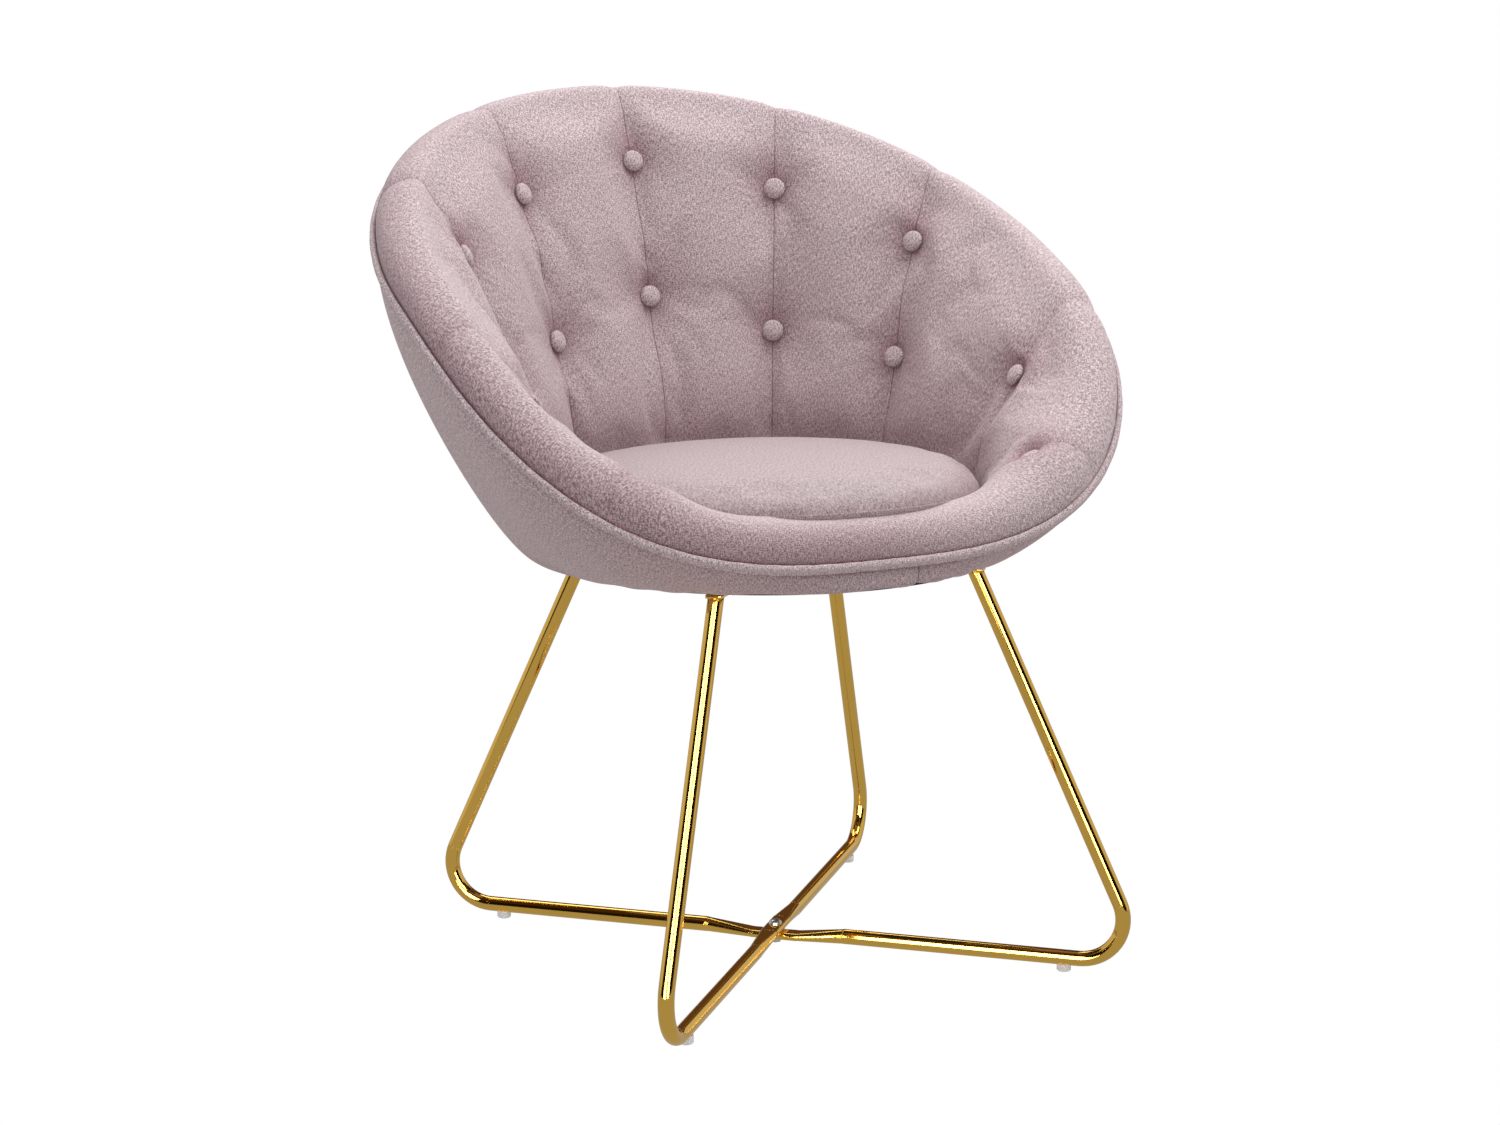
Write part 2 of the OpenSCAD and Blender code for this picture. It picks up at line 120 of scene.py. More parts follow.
def rim(bearing):
    """Radius and height of the rim seam at bearings in degrees, and its share of the way up."""
    b = (np.asarray(bearing, float) + 180) % 360 - 180
    r = np.interp(b, SEAM_BEARING, SEAM_R, period=360)
    z = np.interp(b, SEAM_BEARING, SEAM_Z, period=360)
    return r, z, np.clip((z - SEAM_LOW) / (SEAM_HIGH - SEAM_LOW), 0, 1)


def bezier(points, steps):
    """Cubic curves through four (radius, height) pairs of arrays: an array [bearing, step, 2]."""
    p = np.stack([np.stack(np.broadcast_arrays(*q), -1) for q in points])
    s = np.linspace(0, 1, steps + 1)[None, :, None]
    p = p[:, :, None, :]
    return (1 - s) ** 3 * p[0] + 3 * s * (1 - s) ** 2 * p[1] + 3 * s * s * (1 - s) * p[2] + s ** 3 * p[3]


def crest(bearing):
    """Radius and height of the top of the roll."""
    r, z, h = rim(bearing)
    return r - lerp(0.028, 0.037, h ** 1.5), z + lerp(0.034, 0.027, h)


def inner_sections(bearing):
    """From the rim seam over the crest of the roll and down into the well: [bearing, point, 2]."""
    r, z, h = rim(bearing)
    cr, cz = crest(bearing)
    # The cushion swells the well a little at the sides, and sits a little to the right
    sideways = np.cos(np.radians(bearing))
    side = 0.012 * np.abs(sideways) ** 1.5 + 0.010 * np.maximum(sideways, 0)
    br, bz = WELL_R + 0.008 * (2 * h - 1) + side, 0.432 + 0.014 * h
    cap = bezier([(r, z), (r + 0.004, lerp(z, cz, 0.7)), (lerp(cr, r, 0.55), cz), (cr, cz)], 40)
    lining = bezier([(cr, cz), (cr - 0.022 - 0.008 * h, cz - 0.002 * h),
                     (lerp(br, cr, 0.07), lerp(bz, cz, 0.1)), (br, bz)], 120)
    under_cushion = np.stack([br - 0.012, np.full_like(r, 0.404)], -1)[:, None, :]
    return np.concatenate([cap, lining[:, 1:], under_cushion], 1)


def outer_sections(bearing):
    """From under the tub's floor up to the rim seam: [bearing, point, 2]."""
    r, z, h = rim(bearing)
    spread = 0.008 + 0.025 * np.minimum(1, 8 * h)
    f, one = FLOOR_Z, np.ones_like(r)
    wall = bezier([(FLOOR_R * one, f * one), (FLOOR_R + spread, f * one),
                   (r + 0.015 * np.sqrt(h), lerp(f, z, 0.79)), (r, z)], 120)
    start = np.stack([0.170 * one, f * one], -1)[:, None, :]
    return np.concatenate([start, wall], 1)


def resample(paths, rows):
    """Each path with the same number of points, evenly spaced along it, and the lengths along them."""
    out, length = np.zeros((len(paths), rows, 2)), np.zeros((len(paths), rows))
    for i, path in enumerate(paths):
        d = np.concatenate([[0], np.cumsum(np.linalg.norm(np.diff(path, axis=0), axis=1))])
        s = np.linspace(0, d[-1], rows)
        length[i] = s
        out[i, :, 0], out[i, :, 1] = np.interp(s, d, path[:, 0]), np.interp(s, d, path[:, 1])
    return out, length


def spun(bearing, sections):
    """Sections [bearing, row, (radius, height)] in space, about the tub's axis."""
    b = np.radians(bearing)[:, None]
    radius, height = sections[..., 0], sections[..., 1]
    return np.stack([radius * np.cos(b), AXIS_Y + radius * np.sin(b), height], -1)


def grid_normals(points):
    """Normals of a grid [column, row, 3] whose columns go round."""
    across = np.roll(points, -1, 0) - np.roll(points, 1, 0)
    down = np.gradient(points, axis=1)
    n = np.cross(down, across)
    return n / np.maximum(np.linalg.norm(n, axis=-1, keepdims=True), 1e-12)


# ---------------------------------------------------------------- mesh helpers
def add_uv(mesh, layer, values):
    """A UV map from one (u, v) for each corner of each face."""
    uv = mesh.uv_layers.get(layer) or mesh.uv_layers.new(name=layer)
    uv.data.foreach_set("uv", values.astype(np.float32).ravel())


def add_painted_shade(mesh, painted_shade=None):
    """Painted shade at each point, from 0 to 1, for its shader to read: how far the cloth's colour is
    darkened there.
    """
    attribute = mesh.attributes.get("painted_shade") or mesh.attributes.new("painted_shade", "FLOAT", "POINT")
    values = np.zeros(len(mesh.vertices)) if painted_shade is None else np.asarray(painted_shade, float)
    attribute.data.foreach_set("value", values.ravel().astype(np.float32))


def smooth_shaded(mesh):
    mesh.polygons.foreach_set("use_smooth", np.ones(len(mesh.polygons), bool))


def corner_points(mesh):
    """The number of the point at each corner of each face."""
    out = np.zeros(len(mesh.loops), int)
    mesh.loops.foreach_get("vertex_index", out)
    return out


def new_object(name, mesh):
    made = bpy.data.objects.new(name, mesh)
    scene.collection.objects.link(made)
    return made


def grid_object(name, points, weave, seam=None, painted_shade=None, flip=False, closed_rows=False):
    """A smooth mesh from a grid [column, row, 3] whose columns go round. weave is [column + 1, row, 2], the
    cloth's own threads in metres. seam is the same shape: the distances across and along the nearest seam.
    The painted shade is one value a point."""
    columns, rows = points.shape[:2]
    rows_used = rows if closed_rows else rows - 1
    i, j = np.meshgrid(np.arange(columns), np.arange(rows_used), indexing="ij")
    i, j = i.ravel(), j.ravel()
    i2, j2 = (i + 1) % columns, (j + 1) % rows
    corners = np.stack([i * rows + j, i2 * rows + j, i2 * rows + j2, i * rows + j2], 1)
    here, there = i * (rows + 1) + j, (i + 1) * (rows + 1) + j
    uv_ids = np.stack([here, there, there + 1, here + 1], 1)
    if flip:
        corners, uv_ids = corners[:, ::-1], uv_ids[:, ::-1]
    mesh = bpy.data.meshes.new(name)
    mesh.from_pydata(points.reshape(-1, 3).tolist(), [], corners.tolist())
    smooth_shaded(mesh)
    for layer, values in (("weave", weave), ("seam", seam)):
        if values is None:
            values = np.ones((columns + 1, rows, 2))
        full = np.zeros((columns + 1, rows + 1, 2))
        full[:, :rows] = values
        full[:, rows] = values[:, 0] if closed_rows else 2 * values[:, -1] - values[:, -2]
        add_uv(mesh, layer, full.reshape(-1, 2)[uv_ids.ravel()])
    add_painted_shade(mesh, painted_shade)
    mesh.update()
    return new_object(name, mesh)


def plain_object(name, vertices, faces, weave=None, painted_shade=None):
    mesh = bpy.data.meshes.new(name)
    mesh.from_pydata([tuple(v) for v in vertices], [], [tuple(f) for f in faces])
    smooth_shaded(mesh)
    for layer, values in (("weave", weave), ("seam", None)):
        values = np.ones((len(vertices), 2)) if values is None else np.asarray(values)
        add_uv(mesh, layer, values[corner_points(mesh)])
    add_painted_shade(mesh, painted_shade)
    mesh.update()
    return new_object(name, mesh)


def subdivided(made):
    """One level of smoothing, in the render and in the view."""
    made.modifiers.new("smooth", "SUBSURF").render_levels = 1


def piece(made, slot, material, *replaced):
    made.data.materials.clear()
    made.data.materials.append(material)
    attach(made, "root")
    if replaced:
        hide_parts(*replaced)
    return made


def points_of(obj, evaluated=False):
    source = obj.evaluated_get(bpy.context.evaluated_depsgraph_get()).data if evaluated else obj.data
    out = np.zeros(len(source.vertices) * 3, np.float32)
    source.vertices.foreach_get("co", out)
    return out.reshape(-1, 3).astype(float)


def inflate(obj, held, pressure, frames=20, slack=0.0, stiffness=15.0, bending=0.5, quality=5):
    """Blows the mesh up as cloth, with the points in held kept still, and returns where its points end."""
    group = obj.vertex_groups.new(name="held")
    group.add([int(v) for v in held], 1.0, "REPLACE")
    cloth = obj.modifiers.new("cloth", "CLOTH")
    cloth.point_cache.frame_start, cloth.point_cache.frame_end = 1, frames
    s = cloth.settings
    s.quality = quality
    s.mass = 0.3
    s.tension_stiffness = s.compression_stiffness = stiffness
    s.shear_stiffness = stiffness / 3
    s.bending_stiffness = bending
    s.tension_damping = s.compression_damping = 5
    s.shear_damping, s.bending_damping = 5, 0.5
    s.air_damping = 1
    s.effector_weights.gravity = 0
    s.use_pressure, s.uniform_pressure_force = True, pressure
    s.shrink_min = -slack
    s.vertex_group_mass = "held"
    s.pin_stiffness = 1
    cloth.collision_settings.use_collision = False
    for f in range(1, frames + 1):
        scene.frame_set(f)
    out = points_of(obj, evaluated=True)
    scene.frame_set(1)
    obj.modifiers.remove(cloth)
    obj.vertex_groups.remove(group)
    return out


# ---------------------------------------------------------------- materials
def shader(name):
    material = bpy.data.materials.new(name)
    material.use_nodes = True
    tree = material.node_tree
    principled = next(n for n in tree.nodes if n.type == "BSDF_PRINCIPLED")
    return material, tree, principled


def fill(tree, socket, value):
    if isinstance(value, bpy.types.NodeSocket):
        tree.links.new(value, socket)
    elif value is not None:
        socket.default_value = value


def node(tree, kind, *values, **settings):
    """A node with its settings, its inputs filled in order with numbers, colours or nodes' outputs."""
    made = tree.nodes.new(kind)
    for key, value in settings.items():
        setattr(made, key, value)
    for socket, value in zip(made.inputs, values):
        fill(tree, socket, value)
    return made


def maths(tree, operation, *values, clamp=False):
    return node(tree, "ShaderNodeMath", *values, operation=operation, use_clamp=clamp).outputs[0]


def mixed(tree, factor, a, b, blend="MIX"):
    made = node(tree, "ShaderNodeMix", data_type="RGBA", blend_type=blend)
    for socket, value in ((made.inputs[0], factor), (made.inputs[6], a), (made.inputs[7], b)):
        fill(tree, socket, value)
    return made.outputs[2]


def times(colour, k):
    """A colour made k times as bright, with its alpha."""
    return [c * k for c in colour[:3]] + [1]


def ranged(tree, value, a, b, c=0.0, d=1.0):
    """value's place between a and b, smoothly, from c to d."""
    made = node(tree, "ShaderNodeMapRange", value, a, b, c, d, interpolation_type="SMOOTHSTEP")
    return made.outputs[0]


def noise(tree, vector, scale, detail=2.0, rough=0.5):
    made = node(tree, "ShaderNodeTexNoise")
    tree.links.new(vector, made.inputs["Vector"])
    made.inputs["Scale"].default_value = scale
    made.inputs["Detail"].default_value = detail
    made.inputs["Roughness"].default_value = rough
    return made.outputs[0]


def scaled(tree, vector, x, y, z=1.0, turn=0.0):
    made = node(tree, "ShaderNodeMapping")
    tree.links.new(vector, made.inputs["Vector"])
    made.inputs["Rotation"].default_value = (0, 0, turn)
    made.inputs["Scale"].default_value = (x, y, z)
    return made.outputs[0]


YARN_PITCH, STITCH = 0.0011, 0.0036


def heathered(name, base, turn=0.0, stitched=False, contrast=0.85):
    """Plain weave of mottled yarns. The weave map is in metres, U across and V along the warp.
    A stitched cloth also has seams, drawn from its seam map."""
    material, tree, principled = shader(name)
    weave = node(tree, "ShaderNodeUVMap", uv_map="weave").outputs[0]
    weave = scaled(tree, weave, 1, 1, 1, turn)
    place = node(tree, "ShaderNodeTexCoord").outputs["Object"]
    warp = noise(tree, scaled(tree, weave, 1150, 240), 1.0, 2.0, 0.6)
    weft = noise(tree, scaled(tree, weave, 420, 1150), 1.0, 2.0, 0.6)
    speck = noise(tree, scaled(tree, weave, 1200, 900), 1.0, 1.0, 0.6)
    mottle = noise(tree, place, 26.0, 3.0, 0.55)
    threads = node(tree, "ShaderNodeSeparateXYZ", weave)
    u = maths(tree, "SINE", maths(tree, "MULTIPLY", threads.outputs[0], 2 * math.pi / YARN_PITCH))
    v = maths(tree, "SINE", maths(tree, "MULTIPLY", threads.outputs[1], 2 * math.pi / YARN_PITCH))
    over = maths(tree, "MULTIPLY", u, v)
    dark = [base[0] * 0.42, base[1] * 0.31, base[2] * 0.35, 1]
    grey = [base[0] * 0.50, base[0] * 0.48, base[0] * 0.50, 1]
    pale = [min(1, c * 1.38 + 0.05) for c in base] + [1]
    colour = mixed(tree, ranged(tree, warp, 0.50, 0.59, 0, contrast), (*base, 1), pale)
    colour = mixed(tree, ranged(tree, weft, 0.51, 0.60, 0, 0.9 * contrast), colour, pale)
    colour = mixed(tree, ranged(tree, warp, 0.48, 0.40, 0, contrast), colour, grey)
    colour = mixed(tree, ranged(tree, weft, 0.47, 0.39, 0, contrast), colour, dark)
    colour = mixed(tree, ranged(tree, speck, 0.45, 0.37, 0, contrast), colour, dark)
    colour = mixed(tree, ranged(tree, mottle, 0.35, 0.7, 0, 0.08), colour, times(base, 0.75))
    # Painted shade: the colour is multiplied towards a rosy shade colour as far as the mesh's shade attribute
    # says, in hollows, creases and on faces turned from the light
    painted_shade = node(tree, "ShaderNodeAttribute", attribute_name="painted_shade").outputs["Fac"]
    shade_colour = mixed(tree, 1.0, colour, (0.50, 0.33, 0.37, 1), "MULTIPLY")
    colour = mixed(tree, maths(tree, "MULTIPLY", painted_shade, 1.0, clamp=True), colour, shade_colour)
    height = maths(tree, "ADD", maths(tree, "MULTIPLY", over, 0.30), maths(tree, "ADD", warp, weft))
    if stitched:
        seam = node(tree, "ShaderNodeSeparateXYZ", node(tree, "ShaderNodeUVMap", uv_map="seam").outputs[0])
        across = maths(tree, "ABSOLUTE", seam.outputs[0])
        line = ranged(tree, across, 0.0008, 0.0002)
        colour = mixed(tree, maths(tree, "MULTIPLY", line, 0.68), colour, (0.075, 0.036, 0.045, 1))
        wave = maths(tree, "SINE", maths(tree, "MULTIPLY", seam.outputs[1], 2 * math.pi / STITCH))
        pucker = maths(tree, "MULTIPLY", ranged(tree, across, 0.006, 0.001), wave)
        height = maths(tree, "ADD", height, maths(tree, "MULTIPLY", pucker, 0.6))
    tree.links.new(colour, principled.inputs["Base Color"])
    principled.inputs["Roughness"].default_value = 0.95
    principled.inputs["Specular IOR Level"].default_value = 0.2
    principled.inputs["Sheen Weight"].default_value = 0.25
    principled.inputs["Sheen Roughness"].default_value = 0.5
    principled.inputs["Sheen Tint"].default_value = (0.95, 0.92, 0.92, 1)
    bump = node(tree, "ShaderNodeBump")
    bump.inputs["Strength"].default_value = 0.2
    bump.inputs["Distance"].default_value = 0.0005
    tree.links.new(height, bump.inputs["Height"])
    tree.links.new(bump.outputs[0], principled.inputs["Normal"])
    return material


ROSE = (0.575, 0.466, 0.474)
tub_fabric = heathered("tub_fabric", ROSE, stitched=True)
shell_fabric = heathered("shell_fabric", ROSE, stitched=True)
piping_fabric = heathered("piping_fabric", ROSE, turn=math.radians(38))
# Painted shade and highlight: the cushion is the tub's cloth painted 0.83 times as dark, to make up for the
# light on its upturned top, with its flecks flattened as a bright highlight washes them out
cushion_fabric = heathered("cushion_fabric", times(ROSE, 0.83)[:3], contrast=0.55)
button_fabric = heathered("button_fabric", ROSE, turn=math.radians(12))


def metal(name, base, rough, scratch=0.0, dull=0.0, rounded=0.0):
    """Plated or bare metal with faint polishing marks and slightly duller patches."""
    material, tree, principled = shader(name)
    place = node(tree, "ShaderNodeTexCoord").outputs["Object"]
    patch = noise(tree, place, 9.0, 4.0, 0.6)
    fine = noise(tree, scaled(tree, place, 900, 900, 40), 1.0, 2.0, 0.5)
    colour = mixed(tree, ranged(tree, patch, 0.35, 0.75, 0, 0.5), (*base, 1), times(base, 0.86))
    tree.links.new(colour, principled.inputs["Base Color"])
    principled.inputs["Metallic"].default_value = 1.0
    spread = ranged(tree, patch, 0.3, 0.8, rough, rough + dull)
    marks = maths(tree, "MULTIPLY", fine, scratch)
    tree.links.new(maths(tree, "ADD", spread, marks), principled.inputs["Roughness"])
    if rounded:
        # Reads the shape a little way round each point, so a tube's flats mirror as one curve
        bevel = node(tree, "ShaderNodeBevel")
        bevel.samples = 16
        bevel.inputs["Radius"].default_value = rounded
        tree.links.new(bevel.outputs[0], principled.inputs["Normal"])
    return material


gold = metal("gold_tube", (0.90, 0.55, 0.11), 0.04, 0.01, 0.02, rounded=0.0035)
steel = metal("fastener_steel", (0.66, 0.66, 0.64), 0.22, 0.08, 0.10)


def clear_plastic():
    material, tree, principled = shader("clear_plastic")
    place = node(tree, "ShaderNodeTexCoord").outputs["Object"]
    cloud = noise(tree, place, 260.0, 3.0, 0.6)
    colour = mixed(tree, cloud, (0.97, 0.97, 0.96, 1), (0.90, 0.91, 0.90, 1))
    tree.links.new(colour, principled.inputs["Base Color"])
    principled.inputs["Transmission Weight"].default_value = 0.12
    principled.inputs["IOR"].default_value = 1.46
    tree.links.new(ranged(tree, cloud, 0.2, 0.8, 0.35, 0.55), principled.inputs["Roughness"])
    return material


def plywood():
    material, tree, principled = shader("plywood")
    place = node(tree, "ShaderNodeTexCoord").outputs["Object"]
    grain = noise(tree, scaled(tree, place, 8, 130, 60), 1.0, 6.0, 0.6)
    plies = noise(tree, scaled(tree, place, 2, 2, 700), 1.0, 1.0, 0.5)
    colour = mixed(tree, ranged(tree, grain, 0.35, 0.7), (0.62, 0.44, 0.25, 1), (0.42, 0.27, 0.13, 1))
    colour = mixed(tree, ranged(tree, plies, 0.4, 0.6, 0, 0.4), colour, (0.36, 0.22, 0.11, 1))
    tree.links.new(colour, principled.inputs["Base Color"])
    tree.links.new(ranged(tree, grain, 0.2, 0.8, 0.55, 0.8), principled.inputs["Roughness"])
    return material


def felted(name, base, scale=900.0):
    """Non-woven cloth: matted fibres with a pressed dot pattern."""
    material, tree, principled = shader(name)
    place = node(tree, "ShaderNodeTexCoord").outputs["Object"]
    fibres = noise(tree, place, scale, 4.0, 0.7)
    dots = node(tree, "ShaderNodeTexVoronoi", feature="F1")
    tree.links.new(scaled(tree, place, 420, 420, 420), dots.inputs["Vector"])
    dots.inputs["Scale"].default_value = 1.0
    dots.inputs["Randomness"].default_value = 0.15
    pressed = ranged(tree, dots.outputs["Distance"], 0.18, 0.34)
    colour = mixed(tree, fibres, times(base, 0.6), [min(1, c * 1.7) for c in base] + [1])
    dimple = maths(tree, "MULTIPLY", maths(tree, "SUBTRACT", 1.0, pressed), 0.4)
    colour = mixed(tree, dimple, colour, times(base, 0.4))
    tree.links.new(colour, principled.inputs["Base Color"])
    principled.inputs["Roughness"].default_value = 0.95
    bump = node(tree, "ShaderNodeBump")
    bump.inputs["Strength"].default_value = 0.5
    bump.inputs["Distance"].default_value = 0.0004
    tree.links.new(maths(tree, "ADD", fibres, pressed), bump.inputs["Height"])
    tree.links.new(bump.outputs[0], principled.inputs["Normal"])
    return material


MATERIALS = {
    "gold_tube": gold, "fastener_steel": steel, "clear_plastic": clear_plastic(), "plywood": plywood(),
    "dust_cloth": felted("dust_cloth", (0.022, 0.022, 0.024)), "cord": felted("cord", (0.62, 0.58, 0.52)),
    "foam": felted("foam", (0.80, 0.70, 0.42), 300.0), "tub_fabric": tub_fabric,
    "piping_fabric": piping_fabric, "cushion_fabric": cushion_fabric, "button_fabric": button_fabric}
for part in frame["record"]["subparts"]:
    body = frame["nodes"][part["node"]]
    body.data.materials.clear()
    body.data.materials.append(MATERIALS[part["material_slot"]])

# ---------------------------------------------------------------- tufted lining
COUNT, ROWS = 360, 72
bearing = np.arange(COUNT) * 360 / COUNT
section, along = resample(inner_sections(bearing), ROWS)
base = spun(bearing, section)
outward = grid_normals(base)
if np.mean(outward[:, ROWS // 2] * (base[:, ROWS // 2] - [0, AXIS_Y, 0.6])) > 0:
    outward = -outward                    # out of the padding, into the tub


def seated(b, z):
    """A button's place on the lining, and the direction that it faces."""
    below_crest, step = 45, 0.004
    path = inner_sections(np.array([b], float))[0][below_crest:]
    order = np.argsort(path[:, 1])
    r, r_above = np.interp([z, z + step], path[order, 1], path[order, 0])
    a = math.radians(b)
    slope = (r_above - r) / step
    n = Vector((-math.cos(a), -math.sin(a), slope)).normalized()
    return Vector((r * math.cos(a), AXIS_Y + r * math.sin(a), z)), n


places = {"button_upper_c": (90, UPPER[0]), "button_lower_c": (90, LOWER[0])}
for i, side, mirrored in [(i, s, s == "l") for i in (1, 2) for s in ("l", "r")]:
    b = COLUMNS[i] if not mirrored else 180 - COLUMNS[i]
    places[f"button_upper_{side}{i}"] = (b, UPPER[i])
    places[f"button_lower_{side}{i}"] = (b, LOWER[i])
for i, side in [(i, s) for i in (3, 4) for s in ("l", "r")]:
    places[f"button_arm_{side}{i}"] = (COLUMNS[i] if side == "r" else 180 - COLUMNS[i], ARM[i - 3])
BUTTONS = {name: seated(*at) for name, at in places.items()}
button_points = np.array([list(p) for p, n in BUTTONS.values()])


def nearest_button(points):
    return np.min(np.linalg.norm(points[..., None, :] - button_points, axis=-1), axis=-1)


# The puff dies out at the rim seam and where the cushion covers the lining
z_crest = crest(bearing)[1][:, None]
depth = z_crest - section[..., 1]
to_crest = along[np.arange(COUNT), np.argmax(section[..., 1], axis=1)][:, None]
over_crest = np.where(along < to_crest, 0.0, 1.0)
room = over_crest * smooth(-0.006, 0.060, depth) * smooth(0.400, 0.470, section[..., 1])
PUFF, HELD_R = 0.0165, 0.010      # how far the padding stands out, and how much each button holds down
draft = grid_object("lining_draft", base, np.zeros((COUNT + 1, ROWS, 2)))
face = draft.data.polygons[COUNT * 30]                # any face well down the lining
if face.normal.dot(Vector(outward[face.vertices[0] // ROWS, face.vertices[0] % ROWS])) < 0:
    draft.data.flip_normals()
row = np.arange(COUNT * ROWS) % ROWS
held = np.nonzero((nearest_button(base) < HELD_R).ravel() | (row == 0) | (row >= ROWS - 2))[0]
blown = inflate(draft, held, 4.0, slack=0.02).reshape(COUNT, ROWS, 3)
moved = blown - base
lift = np.sum(moved * outward, -1)
print("lining: pressure moved it by", np.percentile(lift, [5, 50, 95, 100]) * 1000)
lift = lift / np.percentile(lift[room > 0.9], 90)     # a share of the fullest swelling
lift = np.minimum(lift, 1.15) * room * PUFF
bpy.data.objects.remove(draft)

# The front end of each arm swells round its button
ARM_ENDS = ("button_arm_l4", "button_arm_r4")
arm_end = np.array([list(BUTTONS[name][0]) for name in ARM_ENDS])
d = np.min(np.linalg.norm(base[..., None, :] - arm_end, axis=-1), axis=-1)
lift = lift + 0.009 * (1 - np.exp(-(d / 0.014) ** 2)) * np.exp(-(d / 0.045) ** 2)


def refined(values, places):
    """Catmull-Rom samples of values [column, ...] at fractional, wrapped column numbers."""
    i = np.floor(places).astype(int)
    f = (places - i).reshape(-1, *[1] * (values.ndim - 1))
    n = len(values)
    a, b, c, d = values[(i - 1) % n], values[i % n], values[(i + 1) % n], values[(i + 2) % n]
    square, cube = 2 * a - 5 * b + 4 * c - d, 3 * b - a - 3 * c + d
    return 0.5 * (2 * b + (c - a) * f + square * f ** 2 + cube * f ** 3)


def with_seams(seams, step, near=(0, 0.16, 0.34, 0.65, 1.1, 1.7)):
    """Bearings all round, close together beside each seam and about step degrees apart between."""
    seams = sorted(s % 360 for s in seams)
    out = []
    for a, b in zip(seams, seams[1:] + [seams[0] + 360]):
        lo, hi = a + near[-1], b - near[-1]
        count = max(2, round((hi - lo) / step))
        out += [a + x for x in near] + list(np.linspace(lo, hi, count + 1)[1:-1])
        out += [b - x for x in near[:0:-1]]
    return np.array(out)


def off_seam(bearings, seams):
    """Degrees from each bearing to its nearest seam, with a sign."""
    return np.array([min(((f - c + 180) % 360 - 180 for c in seams), key=abs) for f in bearings])


def woven(bearings, radius, along):
    """A weave map whose threads run down the sections, with U measured round at one radius."""
    around = np.radians(np.append(bearings, bearings[0] + 360) - bearings[0])
    out = np.zeros((len(bearings) + 1, along.shape[1], 2))
    out[..., 0] = around[:, None] * radius
    out[:-1, :, 1], out[-1, :, 1] = along, along[0]
    return out


def seam_mapped(across, weave):
    """A seam map from the distances across the seams, which run down the sections."""
    out = weave.copy()
    out[:-1, :, 0], out[-1, :, 0] = across, across[0]
    return out


fine = with_seams(COLUMNS, 1.0)
columns = fine / 360 * COUNT
lining_points = refined(base + outward * lift[..., None], columns)
lining_out = refined(outward, columns)
lining_along = refined(along, columns)
lining_depth = refined(depth, columns)
lining_r = np.hypot(lining_points[..., 0], lining_points[..., 1] - AXIS_Y)
across = np.radians(off_seam(fine, COLUMNS))[:, None] * lining_r
near_button = nearest_button(lining_points)
fade = smooth(0.0, 0.012, lining_along) * smooth(0.0, 0.016, np.abs(near_button - 0.004) + 0.008)
groove = 0.0007 * np.exp(-(across / 0.0011) ** 2) + 0.0022 * np.exp(-(across / 0.010) ** 2)
lining_points = lining_points - lining_out * (groove * fade)[..., None]
weave = woven(fine, 0.27, lining_along)
# The stitching sinks out of sight on the roll and along the arms
arm = np.min([np.abs((fine - c + 180) % 360 - 180) for c in COLUMNS[3:7]], axis=0) < 4
hidden = 0.0006 * (1 - smooth(-0.02, 0.02, lining_depth)) + np.where(arm, 0.0005, 0.0001)[:, None]
seam_map = seam_mapped(np.abs(across) + hidden, weave)
# Painted shade: darker round and above the buttons, low in the tub on its left side, where the roll turns
# away from the main light, a little deeper down the well, in the crease at the rim seam and in the grooves
# along the seams
above = nearest_button(lining_points - np.array([0, 0, 0.012]))
low_down = smooth(0.53, 0.44, lining_points[..., 2]) * smooth(0.06, 0.13, lining_depth)
away = smooth(0.5, -0.6, np.cos(np.radians(fine - 18)))[:, None]
painted_shade = 0.45 * np.exp(-(near_button / 0.015) ** 2) + 0.50 * np.exp(-(above / 0.030) ** 2)
painted_shade += 0.45 * smooth(-0.30, -0.10, lining_points[..., 0]) * low_down
painted_shade += 0.50 * away * smooth(0.065, 0.010, lining_along)
painted_shade += 0.05 * smooth(0.0, 0.08, lining_depth)
painted_shade += 0.9 * np.exp(-(lining_along / 0.0030) ** 2) + 0.12 * np.exp(-(across / 0.006) ** 2) * fade
lining = grid_object("tufted_lining", lining_points, weave, seam_map, painted_shade)
subdivided(lining)
piece(lining, "tub_fabric", tub_fabric, "inner_cover", "tub_padding")

# ---------------------------------------------------------------- outer cover
SHELL_SEAMS, SHELL_ROWS = [-80, 90], 46
fine_out = with_seams(SHELL_SEAMS, 1.25)
section, along_out = resample(outer_sections(fine_out), SHELL_ROWS)
shell = spun(fine_out, section)
shell_out = -grid_normals(shell)
upper = SHELL_ROWS * 2 // 3
if np.mean(shell_out[:, upper] * (shell[:, upper] - [0, AXIS_Y, 0.6])) < 0:
    shell_out = -shell_out
end = along_out[:, -1][:, None]
share = along_out / end
turned = np.radians(fine_out)[:, None]
across = np.radians(off_seam(fine_out, SHELL_SEAMS))[:, None] * section[..., 0]
ripple = 0.0006 * np.sin(turned * 23 + 3 * np.sin(turned * 5))
ripple = ripple * smooth(0.0, 0.3, share) * smooth(1.0, 0.7, share)
groove = 0.0010 * np.exp(-(across / 0.0011) ** 2) + 0.0010 * np.exp(-(across / 0.006) ** 2)
tuck = 0.0022 * np.exp(-((end - along_out) / 0.005) ** 2)     # drawn in under the piping
shell = shell + shell_out * (ripple - groove * smooth(0.16, 0.22, share) - tuck)[..., None]
weave = woven(fine_out, 0.30, along_out)
seam_map = seam_mapped(across, weave)
